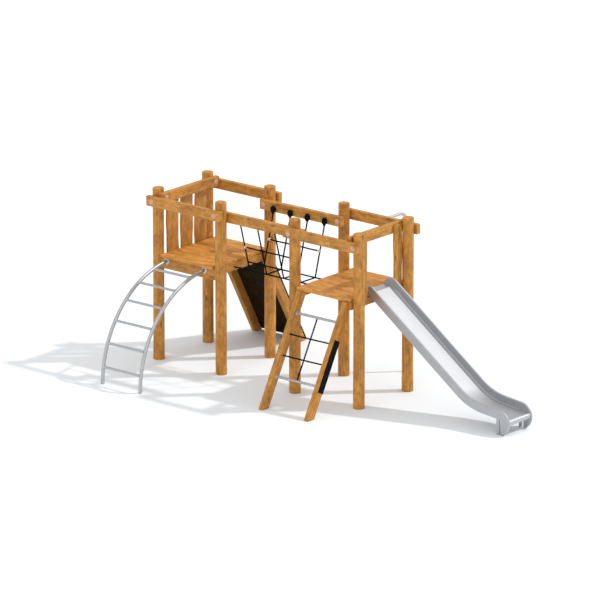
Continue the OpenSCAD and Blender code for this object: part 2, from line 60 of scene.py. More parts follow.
# %% Find the layout
def middle(node):
    """Middle of a CAD node's box."""
    low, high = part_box(node)
    return (np.array(low) + np.array(high)) / 2


origin = middle("post_a_front_left") * [1, 1, 0]
post_x = [float(middle(n)[0] - origin[0]) for n in
          ("post_a_front_left", "post_a_front_right", "post_b_front_left", "post_b_front_right")]
post_y = [0.0, float(middle("post_a_back_left")[1] - origin[1])]
POST_R, POST_TOP = 0.075, 2.310
SEAT = 0.070  # from a post's axis to the flat behind a rail or bearer
DECK, PLANK_Z = 1.440, 1.400  # top and underside of the planks
TOWER_RAIL, END_RAIL, BRIDGE_RAIL = 2.145, 2.195, 2.086  # heights of the rails' middles
RAIL_T, RAIL_H = 0.070, 0.132
FRONT_BEAM_H, BEARER_H = 0.150, 0.100
mid_a = (post_x[0] + post_x[1]) / 2
mid_b = (post_x[2] + post_x[3]) / 2
mid_y = post_y[1] / 2
print("post axes along x:", post_x, "along y:", post_y)

# %% [markdown]
# The camera stands far off with a long lens, so upright posts stay upright and the near and far
# towers keep almost the same scale. It is placed by two angles and a distance.

# %% Set the camera
def direction(azimuth, elevation):
    """Unit vector from the unit to a far point: azimuth 0 is in front, 90 is at the right."""
    a, e = math.radians(azimuth), math.radians(elevation)
    return Vector((math.sin(a) * math.cos(e), -math.cos(a) * math.cos(e), math.sin(e)))


VIEW, DISTANCE, LENS = (39.892, 16.637), 101.354, 472.5
back = direction(*VIEW)
right = Vector((math.cos(math.radians(VIEW[0])), math.sin(math.radians(VIEW[0])), 0))
up = back.cross(right)
camera = bpy.data.objects.new("camera", bpy.data.cameras.new("camera"))
camera.data.lens = LENS
camera.data.sensor_width = 36
camera.data.clip_end = 500
aim = Vector(origin) + Vector((1.6, 0.5, 1.1)) + right * 0.281 - up * 0.112
camera.location = aim + back * DISTANCE
camera.rotation_mode = "QUATERNION"
camera.rotation_quaternion = (-back).to_track_quat("-Z", "Y")
scene.collection.objects.link(camera)
scene.camera = camera
print("camera at", tuple(round(c, 2) for c in camera.location))

# %% [markdown]
# A studio for a large outdoor object is mostly one big soft sky. The world lights everything
# evenly, and one sun stands behind the unit at its right, so the shadows fall forward and to the
# left over a white floor. The plain colour transform keeps that floor white and the stain warm.

# %% Light the studio
world = bpy.data.worlds.new("soft_sky")
scene.world = world
world.use_nodes = True
sky = world.node_tree.nodes["Background"]
sky.inputs["Color"].default_value = (0.985, 0.99, 1.0, 1)
sky.inputs["Strength"].default_value = 0.82
scene.view_settings.view_transform = "Standard"


def sun(name, azimuth, elevation, strength, softness):
    """Distant lamp that shines from a direction, with its disc's width in degrees."""
    lamp = bpy.data.lights.new(name, "SUN")
    lamp.energy = strength
    lamp.angle = math.radians(softness)
    holder = bpy.data.objects.new(name, lamp)
    holder.rotation_mode = "QUATERNION"
    holder.rotation_quaternion = direction(azimuth, elevation).to_track_quat("Z", "Y")
    scene.collection.objects.link(holder)


sun("key_sun", 135, 49.5, 1.50, 2.5)
sun("front_fill", 20, 38, 0.42, 60)
print("world and two suns set")

# %% [markdown]
# A finish is a tree of nodes. `Finish` keeps the code short: it makes a material, adds a node
# with its settings in one line, and links sockets by name.

# %% Helper for finishes
class Finish:
    """One material: add() makes a node and wires its inputs, and shader is its main node."""

    def __init__(self, name):
        self.material = bpy.data.materials.new(name)
        self.material.use_nodes = True
        self.tree = self.material.node_tree
        self.shader = self.tree.nodes["Principled BSDF"]

    def wire(self, node, inputs):
        """Each value is a number or colour for the socket, or another node's output."""
        for key, value in inputs.items():
            if isinstance(value, bpy.types.NodeSocket):
                self.tree.links.new(value, node.inputs[key])
            else:
                node.inputs[key].default_value = value

    def add(self, kind, inputs=(), **settings):
        node = self.tree.nodes.new("ShaderNode" + kind)
        for key, value in settings.items():
            setattr(node, key, value)
        self.wire(node, dict(inputs))
        return node

    def math(self, operation, a, b=0.0, c=0.0):
        """Output of one sum on numbers or sockets."""
        return self.add("Math", {0: a, 1: b, 2: c}, operation=operation).outputs[0]

    def stretch(self, vector, x, y, z):
        """The same coordinates, scaled along each axis."""
        return self.add("VectorMath", {0: vector, 1: (x, y, z)}, operation="MULTIPLY").outputs[0]

    def noise(self, vector, scale, detail=3.0, rough=0.55, warp=0.0):
        """Cloud pattern from 0 to 1."""
        return self.add("TexNoise", {"Vector": vector, "Scale": scale, "Detail": detail,
                                     "Roughness": rough, "Distortion": warp}).outputs[0]

    def ramp(self, value, stops):
        """Colours along 0 to 1: stops is a list of (place, (r, g, b))."""
        node = self.add("ValToRGB", {0: value})
        ramp = node.color_ramp
        while len(ramp.elements) < len(stops):
            ramp.elements.new(0.5)
        for element, (place, colour) in zip(ramp.elements, stops):
            element.position = place
            element.color = (*colour, 1)
        return node.outputs[0]

    def mix(self, amount, a, b, blend="MIX"):
        """Colour a turned towards colour b."""
        node = self.add("Mix", data_type="RGBA", blend_type=blend)
        self.wire(node, {0: amount})
        for key, value in ((6, a), (7, b)):
            if isinstance(value, tuple):
                value = (*value, 1)
            self.wire(node, {key: value})
        return node.outputs[2]

    def bump(self, height, strength, distance):
        """Fine relief from a height pattern."""
        node = self.add("Bump", {"Height": height, "Strength": strength, "Distance": distance})
        self.wire(self.shader, {"Normal": node.outputs[0]})


print("finish helper ready")

# %% [markdown]
# Stained softwood is the unit's main finish. A board is cut from a log, so its pattern is a slice
# through long rings round the pith. Every timber piece therefore carries an attribute, `grain`:
# its place across and along its own log. The rings are waves of the distance from the pith, bent
# by slow noise, the fibres are noise drawn out along the log, and knots and dark drying checks
# are rare spots and streaks. The stain soaks in unevenly, so a large soft cloud and smaller
# blotches change its tone.

# %% Make the timber finishes
def timber_finish(name, light, dark, patchy):
    """Rings, fibres, knots, checks and uneven stain, all read from the grain attribute."""
    f = Finish(name)
    log = f.add("Attribute", attribute_name="grain").outputs["Vector"]
    sway = f.noise(f.stretch(log, 3.0, 3.0, 0.9), 2.2, 2.0)
    sway_2 = f.noise(f.stretch(log, 2.0, 2.0, 0.55), 3.1, 2.0)
    parts = f.add("SeparateXYZ", {0: log})
    x = f.math("MULTIPLY_ADD", sway, 0.052, parts.outputs[0])
    y = f.math("MULTIPLY_ADD", sway_2, 0.052, parts.outputs[1])
    radius = f.math("SQRT", f.math("ADD", f.math("MULTIPLY", x, x), f.math("MULTIPLY", y, y)))
    ring = f.math("MULTIPLY_ADD", f.math("SINE", f.math("MULTIPLY", radius, 760.0)), 0.5, 0.5)
    ring = f.math("POWER", ring, 1.6)
    fibre = f.noise(f.stretch(log, 300.0, 300.0, 5.0), 1.0, 4.0, 0.65)
    streak = f.noise(f.stretch(log, 46.0, 46.0, 1.3), 1.0, 3.0, 0.6)
    cloud = f.noise(f.stretch(log, 5.0, 5.0, 2.3), 1.7, 3.0, 0.6)
    knots = f.add("TexVoronoi", {"Vector": f.stretch(log, 7.0, 7.0, 2.6), "Scale": 1.0,
                                 "Randomness": 1.0}).outputs["Distance"]
    blotch = f.noise(f.stretch(log, 16.0, 16.0, 9.0), 1.3, 3.0, 0.6, 0.4)
    wood = f.mix(f.math("MULTIPLY", ring, 0.30), light, dark)
    tone = f.ramp(streak, [(0.30, (0.76, 0.72, 0.66)), (0.52, (1, 1, 1)),
                           (0.74, (1.12, 1.12, 1.08))])
    wood = f.mix(0.6, wood, tone, "MULTIPLY")
    tone = f.ramp(cloud, [(0.30, (0.66, 0.61, 0.54)), (0.55, (1, 1, 1)), (0.75, (1.24, 1.22, 1.1))])
    wood = f.mix(patchy, wood, tone, "MULTIPLY")
    tone = f.ramp(blotch, [(0.34, (0.70, 0.69, 0.60)), (0.51, (1, 1, 1)),
                           (0.68, (1.20, 1.19, 1.06))])
    wood = f.mix(patchy, wood, tone, "MULTIPLY")
    tone = f.ramp(fibre, [(0.30, (0.80, 0.78, 0.74)), (0.62, (1.06, 1.05, 1.04))])
    wood = f.mix(0.6, wood, tone, "MULTIPLY")
    knot = f.ramp(knots, [(0.05, (1, 1, 1)), (0.16, (0, 0, 0))])
    wood = f.mix(f.math("MULTIPLY", knot, 0.75), wood, (0.10, 0.035, 0.010))
    split = f.noise(f.stretch(log, 70.0, 70.0, 1.1), 1.0, 1.0, 0.4)
    check = f.ramp(split, [(0.225, (1, 1, 1)), (0.26, (0, 0, 0))])
    wood = f.mix(f.math("MULTIPLY", check, 0.6), wood, (0.09, 0.035, 0.010))
    f.wire(f.shader, {"Base Color": wood, "IOR": 1.45,
                      "Roughness": f.math("MULTIPLY_ADD", streak, -0.25, 0.74)})
    relief = f.math("MULTIPLY_ADD", check, -1.5, f.math("MULTIPLY_ADD", ring, 0.4, fibre))
    f.bump(relief, 0.55, 0.0012)
    return f.material


timber = timber_finish("stained_timber", (0.575, 0.260, 0.044), (0.36, 0.145, 0.020), 0.85)
timber_deep = timber_finish("stained_timber_deep", (0.54, 0.248, 0.044), (0.34, 0.138, 0.020), 0.65)
# The deck's stain is the posts' stain made lighter: painted light for the sunlit tops of the
# planks.
timber_deck_painted_light = timber_finish("stained_timber_deck", (0.690, 0.304, 0.051), (0.47, 0.190, 0.025), 0.7)
print("timber finishes:", timber.name, timber_deep.name, timber_deck_painted_light.name)

# %% [markdown]
# The metal parts come in four finishes. Galvanised tube has a crystal pattern of faint patches.
# Stainless sheet has fine drawn lines, and the bed that children slide on is polished brighter.
# Cast alloy is plain and slightly grainy.

# %% Make the metal finishes
def metal_finish(name, colour, rough, stretch, patch_scale, contrast, metallic=1.0):
    """Bare metal whose tone and gloss wander with patches and with fine drawn lines."""
    f = Finish(name)
    place = f.add("TexCoord").outputs["Object"]
    patch = f.add("TexVoronoi", {"Vector": place, "Scale": patch_scale}).outputs["Color"]
    patch = f.add("SeparateColor", {0: patch}).outputs[0]
    lines = f.noise(f.stretch(place, *stretch), 1.0, 3.0, 0.6)
    haze = f.noise(place, 3.0, 3.0)
    low = tuple(c * (1 - contrast) for c in colour)
    tone = f.mix(patch, low, colour)
    tone = f.mix(f.math("MULTIPLY", haze, 0.25), tone, tuple(c * 0.8 for c in colour))
    gloss = f.math("MULTIPLY_ADD", lines, 0.14, f.math("MULTIPLY_ADD", haze, 0.12, rough))
    f.wire(f.shader, {"Base Color": tone, "Metallic": metallic, "Roughness": gloss})
    f.bump(lines, 0.12, 0.0003)
    return f.material


galvanised = metal_finish("galvanised_tube", (0.55, 0.56, 0.575), 0.34, (90, 90, 90), 60, 0.16,
                          metallic=0.9)
stainless = metal_finish("stainless_sheet", (0.52, 0.525, 0.54), 0.46, (12, 500, 12), 8, 0.05)
polished = metal_finish("polished_sheet", (0.56, 0.565, 0.58), 0.36, (12, 500, 12), 8, 0.03)
alloy = metal_finish("cast_alloy", (0.74, 0.75, 0.77), 0.36, (400, 400, 400), 120, 0.10)
print("metal finishes:", galvanised.name, stainless.name, polished.name, alloy.name)

# %% [markdown]
# Plastics and rubber are dull materials with a fine moulded grain. The rope finish reads the same
# `grain` attribute as the timber, because its yarns have to follow the rope.

# %% Make the plastic, rubber and rope finishes
def moulded_finish(name, colour, rough, grain, wear, shine=0.5):
    """Moulded surface: a fine grain in the relief and large, faint weathering in the colour."""
    f = Finish(name)
    place = f.add("TexCoord").outputs["Object"]
    fine = f.noise(place, grain, 2.0, 0.6)
    cloud = f.noise(place, 7.0, 4.0, 0.6)
    pale = tuple(min(1.0, c * (1 + wear) + 0.02 * wear) for c in colour)
    tone = f.mix(f.ramp(cloud, [(0.35, (0, 0, 0)), (0.75, (1, 1, 1))]), colour, pale)
    f.wire(f.shader, {"Base Color": tone, "Specular IOR Level": shine,
                      "Roughness": f.math("MULTIPLY_ADD", fine, 0.2, rough)})
    f.bump(fine, 0.35, 0.0006)
    return f.material


def rope_finish(name, colour, pale):
    """Black covered rope: short slanting yarns on each strand, dusty on the high ones."""
    f = Finish(name)
    yarn = f.add("Attribute", attribute_name="grain").outputs["Vector"]
    fibre = f.noise(f.stretch(yarn, 900.0, 900.0, 260.0), 1.0, 2.0, 0.6)
    dust = f.noise(f.stretch(yarn, 20.0, 20.0, 12.0), 1.0, 2.0, 0.6)
    tone = f.mix(f.math("MULTIPLY", fibre, dust), colour, pale)
    f.wire(f.shader, {"Base Color": tone, "Roughness": 0.85, "Specular IOR Level": 0.1})
    f.bump(fibre, 0.5, 0.0008)
    return f.material


cap_plastic = moulded_finish("screw_cap_plastic", (0.54, 0.325, 0.235), 0.42, 500, 0.25)
panel_black = moulded_finish("panel_black", (0.016, 0.009, 0.002), 0.70, 260, 0.4, 0.05)
rubber = moulded_finish("black_rubber", (0.0025, 0.0025, 0.003), 0.65, 420, 0.3, 0.08)
resin = moulded_finish("hold_resin", (0.30, 0.075, 0.030), 0.62, 380, 0.35)
rope_black = rope_finish("black_rope", (0.002, 0.002, 0.0025), (0.010, 0.010, 0.009))
print("plastic, rubber and rope finishes made")

# %% [markdown]
# Nearly every piece here is a skin: a stack of closed rings, joined ring to ring and closed at
# both ends. `skin` builds one from an array of rings, with a second array for the grain
# coordinates, and turns it the right way out by looking at the sign of its volume.

# %% Helper for closed skins
def skin(rings, grain=None):
    """Quads between neighbouring rings and a fan of triangles from each end ring to its middle.
    Volume is a sixth of the sum of a . (b x c) over the triangles; where it is negative the
    faces are turned round."""
    count, around = rings.shape[:2]
    grain = rings if grain is None else grain
    index = np.arange(count * around).reshape(count, around)
    a, d = index[:-1], index[1:]
    b, c = np.roll(a, -1, 1), np.roll(d, -1, 1)
    quads = np.stack([a, b, c, d], -1).reshape(-1, 4)
    first, last = index[0], index[-1]
    start, end = np.full(around, count * around), np.full(around, count * around + 1)
    fans = np.concatenate([np.stack([np.roll(first, -1), first, start], -1),
                           np.stack([last, np.roll(last, -1), end], -1)])
    points = np.concatenate([rings.reshape(-1, 3), rings[:1].mean(1), rings[-1:].mean(1)])
    wood = np.concatenate([grain.reshape(-1, 3), grain[:1].mean(1), grain[-1:].mean(1)])
    tris = np.concatenate([quads[:, [0, 1, 2]], quads[:, [0, 2, 3]], fans])
    p = points[tris] - points.mean(0)
    volume = np.einsum("ij,ij->i", p[:, 0], np.cross(p[:, 1], p[:, 2])).sum() / 6
    if volume < 0:
        quads, fans = quads[:, ::-1], fans[:, ::-1]
    return points, wood, quads, fans


def make_piece(name, skins, material, nodes, sharp=38):
    """One object from several skins: moved to the frame, smooth but for edges over an angle."""
    points, wood, faces, total = [], [], [], 0
    for part_points, part_wood, quads, fans in skins:
        faces += (quads + total).tolist() + (fans + total).tolist()
        points.append(part_points)
        wood.append(part_wood)
        total += len(part_points)
    mesh = bpy.data.meshes.new(name)
    mesh.from_pydata(np.concatenate(points) + origin, [], faces)
    layer = mesh.attributes.new("grain", "FLOAT_VECTOR", "POINT")
    layer.data.foreach_set("vector", np.concatenate(wood).astype(np.float32).ravel())
    mesh.shade_smooth()
    mesh.set_sharp_from_angle(angle=math.radians(sharp))
    mesh.materials.append(material)
    piece = bpy.data.objects.new(name, mesh)
    scene.collection.objects.link(piece)
    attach(piece, "root")
    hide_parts(*nodes)
    print(f"{name}: {len(skins)} skins, {len(faces)} faces")


def log_place(seed):
    """Where a piece lies in its log: an offset from the pith and along the trunk."""
    pick = np.random.default_rng(seed)
    return np.array([pick.uniform(-0.03, 0.03), pick.uniform(0.03, 0.07), pick.uniform(0, 9)])


print("skin helper ready")

# %% [markdown]
# A round post is a turned log. Its radius is a function of the angle and the height: a plain
# circle, a slow wobble of under two millimetres, a rounded edge at the top, and a flat wherever a
# rail or a bearer is seated. A flat at distance s facing the angle d is the line r = s / cos(t -
# d), so the radius is the smaller of the two.

# %% Make the posts
def post_skin(x, y, flats, seed):
    """Rings of r(t, z) = min(R + wobble, s / cos(t - d) within each flat's height)."""
    t = np.linspace(0, 2 * np.pi, 96, endpoint=False)
    bevel, quarter = 0.010, np.linspace(0, np.pi / 2, 5)
    top = POST_TOP - bevel + bevel * np.sin(quarter)
    inset = bevel - bevel * np.cos(quarter)
    edges = [z + d for _, low, high in flats for z in (low, high) for d in (-0.0005, 0.0005)]
    z = np.sort(np.concatenate([np.linspace(0, POST_TOP - 0.012, 60), np.array(edges)]))
    inset = np.concatenate([np.zeros(len(z)), inset])
    z = np.concatenate([z, top])
    zz, tt = np.meshgrid(z, t, indexing="ij")
    r = POST_R - inset[:, None] + 0.0009 * np.sin(2 * tt + 1.7 * zz + seed) \
        + 0.0007 * np.sin(3 * tt - 2.9 * zz + 2 * seed) - 0.0012
    for facing, low, high in flats:
        ahead = np.cos(tt - math.radians(facing))
        line = SEAT / np.maximum(ahead, 0.2)
        inside = (zz > low) & (zz < high) & (ahead > 0.2)
        r = np.where(inside, np.minimum(r, line), r)
    ring = np.stack([r * np.cos(tt), r * np.sin(tt), zz], -1)
    pith = np.array([0.008 * math.sin(seed), 0.008 * math.cos(3 * seed), 1.37 * seed])
    return skin(ring + [x, y, 0], ring + pith)


def flats_of(tower, row, side):
    """Flats of one post as (facing, low, high): the rail along the tower, the rail at its end or
    beside the bridge, and the bearer or beam under the deck."""
    front = row == "front"
    inward = 0 if side == "left" else 180
    at_end = (tower == "a") == (side == "left")
    second, height = (inward, END_RAIL) if at_end else (90 if front else 270, BRIDGE_RAIL)
    beam = FRONT_BEAM_H if tower == "a" and front else BEARER_H
    rails = [(270 if front else 90, TOWER_RAIL), (second, height)]
    flats = [(facing, z - RAIL_H / 2, z + RAIL_H / 2) for facing, z in rails]
    return flats + [(inward, PLANK_Z - beam, PLANK_Z)]


places = itertools.product("ab", ("left", "right"), ("front", "back"))
for number, (tower, side, row) in enumerate(places):
    node = f"post_{tower}_{row}_{side}"
    x, y = (middle(node) - origin)[:2]
    make_piece("turned_" + node, [post_skin(x, y, flats_of(tower, row, side), number + 1.3)],
               timber, [node])

# %% [markdown]
# Rails, bearers, planks and stringers are all sawn bars with their edges taken off. A bar is a
# rounded rectangle carried from one end to the other. The rings near each end shrink along a
# quarter circle, so the ends are rounded as well, and a slow wander keeps long edges from being
# dead straight. For a leaning stringer, the same rings lie level while the bar leans, which gives
# the level cuts at the ground and under the deck.

# %% Helper for sawn bars
def rounded_section(half_u, half_v, radius, per_corner=5, per_side=6):
    """Points round a rectangle: a corner's point is its centre plus radius (cos t, sin t), and
    the sides between the corners are divided evenly."""
    corner = np.linspace(0, np.pi / 2, per_corner)
    loops = []
    for k, (su, sv) in enumerate([(1, 1), (-1, 1), (-1, -1), (1, -1)]):
        t = corner + k * np.pi / 2
        arc = np.stack([su * (half_u - radius) + radius * np.cos(t),
                        sv * (half_v - radius) + radius * np.sin(t)], -1)
        loops.append(arc)
    sides = []
    for k in range(4):
        start, end = loops[k][-1], loops[(k + 1) % 4][0]
        share = np.linspace(0, 1, per_side + 1)[1:-1, None]
        sides.append(loops[k])
        sides.append(start + (end - start) * share)
    return np.concatenate(sides)


def bar(a, b, u, v, width_u, width_v, radius, seed, wander=0.0012, edge=None, steps=24):
    """Rings of a rounded rectangle with sides along u and v, carried from a to b. edge(s) moves
    the two faces along u to the side by its two values, for a board with natural edges."""
    a, b, u, v = (np.array(q, float) for q in (a, b, u, v))
    length = np.linalg.norm(b - a)
    turn = np.linspace(0, np.pi / 2, 5)
    near = radius * (1 - np.cos(turn)) / length
    inset = radius * (1 - np.sin(turn))
    s = np.concatenate([near, np.linspace(near[-1], 1 - near[-1], steps + 1)[1:-1],
                        1 - near[::-1]])
    inset = np.concatenate([inset, np.zeros(steps - 1), inset[::-1]])
    base = rounded_section(width_u / 2, width_v / 2, radius)
    side = np.sign(base)
    section = base[None] - side[None] * inset[:, None, None]
    wave = np.sin(5.1 * s * length + seed)[:, None] * 0.6 + np.sin(
        11.7 * s * length + 2 * seed)[:, None] * 0.4
    pu = section[..., 0] + wander * wave * np.cos(base[None, :, 1] * 30 + seed)
    pv = section[..., 1] + 0.5 * wander * wave
    if edge is not None:
        low, high = edge(s)
        share = (base[None, :, 0] / width_u + 0.5)
        pu = pu + low[:, None] * (1 - share) + high[:, None] * share
    rings = a + (b - a) * s[:, None, None] + pu[..., None] * u + pv[..., None] * v
    along = np.broadcast_to(s[:, None] * length, pu.shape)
    grain = np.stack([pu, pv, along], -1) + log_place(seed)
    return skin(rings, grain)


X, Y, Z = np.eye(3)
print("bar helper ready")

# %% [markdown]
# The guard rails are squared timbers, 132 by 70, screwed to flats on the posts. Each runs a hand's
# width past its posts, with its edges and ends well rounded for children's hands.

# %% Make the rails
TAIL, BRIDGE_TAIL = 0.090, 0.060  # past the posts' axes
RAIL_OUT = SEAT + RAIL_T / 2


def rail(name, a, b, across, seed):
    make_piece("sawn_" + name, [bar(a, b, across, Z, RAIL_T, RAIL_H, 0.008, seed)], timber,
               [name])


def rail_along_x(name, x0, x1, y, side, z, seed, tail=TAIL):
    y = y + side * RAIL_OUT
    rail(name, (x0 - tail, y, z), (x1 + tail, y, z), Y, seed)


def rail_along_y(name, x, side, seed):
    x = x + side * RAIL_OUT
    rail(name, (x, -POST_R, END_RAIL), (x, post_y[1] + POST_R, END_RAIL), X, seed)


rows = (("front", post_y[0], -1), ("back", post_y[1], 1))
for tower, left, first_seed in (("a", 0, 11), ("b", 2, 13)):
    for k, (row, y, side) in enumerate(rows):
        rail_along_x(f"rail_{tower}_{row}", post_x[left], post_x[left + 1], y, side, TOWER_RAIL,
                     first_seed + k)
for k, (row, y, side) in enumerate(rows):
    rail_along_x("rail_bridge_" + row, post_x[1], post_x[2], y, -side, BRIDGE_RAIL, 15 + k,
                 BRIDGE_TAIL)
rail_along_y("rail_a_left", post_x[0], 1, 17)
rail_along_y("rail_b_right", post_x[3], -1, 18)

# %% [markdown]
# Under each deck run two bearers, and the first tower has a deeper beam at its front for the arch
# climber. The deck is planks laid across the bearers. They are the same bars with a smaller
# rounding, and each has its own seed, so no two share a pattern. Their stain is a lighter copy of
# the posts' stain, which is painted light for the sunlit tops of the planks.

# %% Make the bearers and decks
BEARER_T, BEAM_T = 0.045, 0.070


def bearer(name, x, side, y0, seed):
    x, z = x + side * (SEAT + BEARER_T / 2), PLANK_Z - BEARER_H / 2
    make_piece("sawn_" + name, [bar((x, y0, z), (x, post_y[1] + POST_R, z), X, Z, BEARER_T,
                                    BEARER_H, 0.004, seed, 0.0006)],
               timber_deep, [name])


bearer("bearer_a_left", post_x[0], 1, BEAM_T / 2, 21)
bearer("bearer_a_right", post_x[1], -1, BEAM_T / 2, 22)
bearer("bearer_b_left", post_x[2], 1, -POST_R, 23)
bearer("bearer_b_right", post_x[3], -1, -POST_R, 24)
beam_z = PLANK_Z - FRONT_BEAM_H / 2
make_piece("sawn_beam_a_front", [bar((SEAT, 0, beam_z), (post_x[1] - SEAT, 0, beam_z), Y, Z,
                                     BEAM_T, FRONT_BEAM_H, 0.005, 25, 0.0006)],
           timber_deep, ["beam_a_front"])


def deck(name, x, seed):
    """Planks side by side along y, each a bar along x."""
    count, gap = 8, 0.005
    pitch = (post_y[1] + 2 * POST_R + gap) / count
    planks = []
    for k in range(count):
        y = (k + 0.5) * pitch - POST_R - gap / 2
        z = PLANK_Z + 0.020 - 0.0008 * (k % 2)
        planks.append(bar((x + 0.085, y, z), (x + post_x[1] - 0.085, y, z), Y, Z,
                          pitch - gap, 0.040, 0.005, seed + k, 0.0012))
    # the lighter deck stain is painted light on the planks' sunlit tops
    make_piece("laid_" + name, planks, timber_deck_painted_light, [name])


deck("planks_a", post_x[0], 30)
deck("planks_b", post_x[2], 40)

# %% [markdown]
# The barrier boards are sawn through and through from a log and keep its natural edge. Their two
# long edges wander apart from each other: each edge is a sum of two slow sine waves of the height.

# %% Make the barrier boards
board_low, board_high = PLANK_Z - 0.090, END_RAIL + 0.046


def natural_edge(seed):
    """Two edges, each a slow wave plus a quicker small one, in metres."""
    def edge(s):
        low = 0.0055 * np.sin(6.3 * s + seed) + 0.0025 * np.sin(17 * s + 2 * seed)
        high = 0.0055 * np.sin(5.2 * s + 3 * seed) + 0.0025 * np.sin(14 * s + seed)
        return low, high
    return edge


def barrier_board(name, x, y, width, seed):
    make_piece("natural_" + name, [bar((x, y, board_low), (x, y, board_high), Y, X, width, 0.027,
                                       0.006, seed, 0.0008, natural_edge(seed), 40)],
               timber_deep, [name])


for k, node in enumerate(["board_a_1", "board_a_2", "board_a_3"]):
    barrier_board(node, SEAT - 0.014, mid_y + (k - 1) * 0.278, 0.226, 51 + k)
for k, node in enumerate(["board_b_1", "board_b_2"]):
    place = middle(node) - origin
    barrier_board(node, post_x[3] - SEAT + 0.014, place[1], 0.152, 55 + k)

# %% [markdown]
# Caps, flanges, hangers and holds are turned shapes. `turned` revolves a profile of radius
# and height about an axis that may point any way, which takes two vectors square to the axis.

# %% Helper for turned shapes
def turned(profile, place, axis, around=40):
    """Rings place + h axis + r (cos t p + sin t q), where p and q are square to the axis."""
    profile = np.array(profile, float)
    axis = np.array(axis, float) / np.linalg.norm(axis)
    helper = X if abs(axis[0]) < 0.9 else Y
    p = np.cross(axis, helper)
    p /= np.linalg.norm(p)
    q = np.cross(axis, p)
    t = np.linspace(0, 2 * np.pi, around, endpoint=False)
    wheel = np.cos(t)[:, None] * p + np.sin(t)[:, None] * q
    rings = np.array(place) + profile[:, 1, None, None] * axis + profile[:, 0, None, None] * wheel
    return skin(rings)


def dome(radius, rim, crown, steps=7):
    """Profile of a shallow cap: a rounded rim, then a quarter of an ellipse to the crown."""
    t = np.linspace(0, np.pi / 2, steps)
    edge = [(radius * 0.94, -0.001), (radius, 0.001), (radius, rim)]
    arch = [(max(radius * 0.97 * math.cos(a), 0.0004), rim + (crown - rim) * math.sin(a))
            for a in t]
    return edge + arch


SCREW_HEAD = dome(0.0065, 0.002, 0.0050, 5)


def wall_plate(profile, x, y, z, way, circle, thick):
    """Flange on a face that looks towards +y or -y, with four screw heads round a circle."""
    plate = [turned(profile, (x, y, z), way * Y, 56)]
    for turn in np.radians((45, 135, 225, 315)):
        spot = (x + circle * math.cos(turn), y + way * thick, z + circle * math.sin(turn))
        plate.append(turned(SCREW_HEAD, spot, way * Y, 16))
    return plate


print("turned helper ready")

# %% [markdown]
# Each screw through a rail is covered by a wide two-part cap: a domed body and a snap-in lid whose
# edge shows as a fine groove. The shank inside the timber is left to the CAD.

# %% Make the screw caps
def cap_profile():
    """Body up to a groove at 0.6 of its radius, then a slightly domed lid."""
    body = dome(0.036, 0.004, 0.0105, 6)[:6]
    lid = [(0.0226, 0.0082), (0.0220, 0.0068), (0.0209, 0.0068), (0.0203, 0.0088),
           (0.0174, 0.0104), (0.0104, 0.0114), (0.0004, 0.0118)]
    return body + lid


OUTER = SEAT + RAIL_T
caps = []
for x in post_x:
    caps.append(((x, post_y[0] - OUTER, TOWER_RAIL), -Y))
    caps.append(((x, post_y[1] + OUTER, TOWER_RAIL), Y))
for x in post_x[1:3]:
    caps.append(((x, post_y[0] + OUTER, BRIDGE_RAIL), Y))
    caps.append(((x, post_y[1] - OUTER, BRIDGE_RAIL), -Y))
for y in post_y:
    caps.append(((post_x[0] + OUTER, y, END_RAIL), X))
    caps.append(((post_x[3] - OUTER, y, END_RAIL), -X))
make_piece("screw_caps", [turned(cap_profile(), place, axis) for place, axis in caps],
           cap_plastic, ["rail_screws"])
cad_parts["deck_screws"].data.materials.clear()
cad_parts["deck_screws"].data.materials.append(galvanised)

# %% [markdown]
# Tubes and ropes are both sweeps: a ring carried along a path. The path's direction comes from its
# own differences, and one fixed vector that is never in line with it sets how the ring is turned.
# A tube's radius may change along the way, which makes its weld collars. A rope's radius changes
# round the ring as well: six strands are six bumps, and they turn with the distance travelled.

# %% Helpers for tubes and ropes
def sweep(path, reference, radius, around=24):
    """Rings of path + r (cos t n + sin t m), with n and m square to the path; radius is a number,
    one value per point, or a function of (t, distance)."""
    path = np.array(path, float)
    way = np.gradient(path, axis=0)
    way /= np.linalg.norm(way, axis=1)[:, None]
    n = np.cross(way, reference)
    n /= np.linalg.norm(n, axis=1)[:, None]
    m = np.cross(way, n)
    distance = np.concatenate([[0], np.cumsum(np.linalg.norm(np.diff(path, axis=0), axis=1))])
    t = np.linspace(0, 2 * np.pi, around, endpoint=False)
    tt, dd = np.meshgrid(t, distance)
    r = radius(tt, dd) if callable(radius) else np.broadcast_to(
        np.reshape(radius, (-1, 1)), tt.shape)
    ring = r[..., None] * (np.cos(tt)[..., None] * n[:, None] + np.sin(tt)[..., None] * m[:, None])
    grain = np.stack([r * np.cos(tt), r * np.sin(tt), dd], -1)
    return skin(path[:, None] + ring, grain)


ROPE = 0.020


def laid_rope(path, reference, diameter=ROPE):
    """Six strands: r = R (0.90 + 0.10 |cos 3(t - 2 pi d / lay)|^0.7), with a lay of six
    diameters."""
    def radius(t, d):
        lobe = np.abs(np.cos(3 * (t - 2 * np.pi * d / (6 * diameter)))) ** 0.7
        return diameter / 2 * (0.90 + 0.10 * lobe)
    return sweep(path, reference, radius, 30)


def line(a, b, spacing=0.007, sag=0.0):
    """Points from a to b, dropped by sag x 4 s (1 - s) for a rope with a little slack."""
    a, b = np.array(a, float), np.array(b, float)
    s = np.linspace(0, 1, max(3, int(np.linalg.norm(b - a) / spacing)))
    points = a + (b - a) * s[:, None]
    points[:, 2] -= sag * 4 * s * (1 - s)
    return points


print("sweep helpers ready")

# %% [markdown]
# The arch climber is two galvanised tubes on a circle whose middle lies near the foot of the
# front posts, so each is a quarter of a wheel from the ground to the beam. The rungs are thinner
# tubes, and each end swells into a small weld collar where it meets the arch.

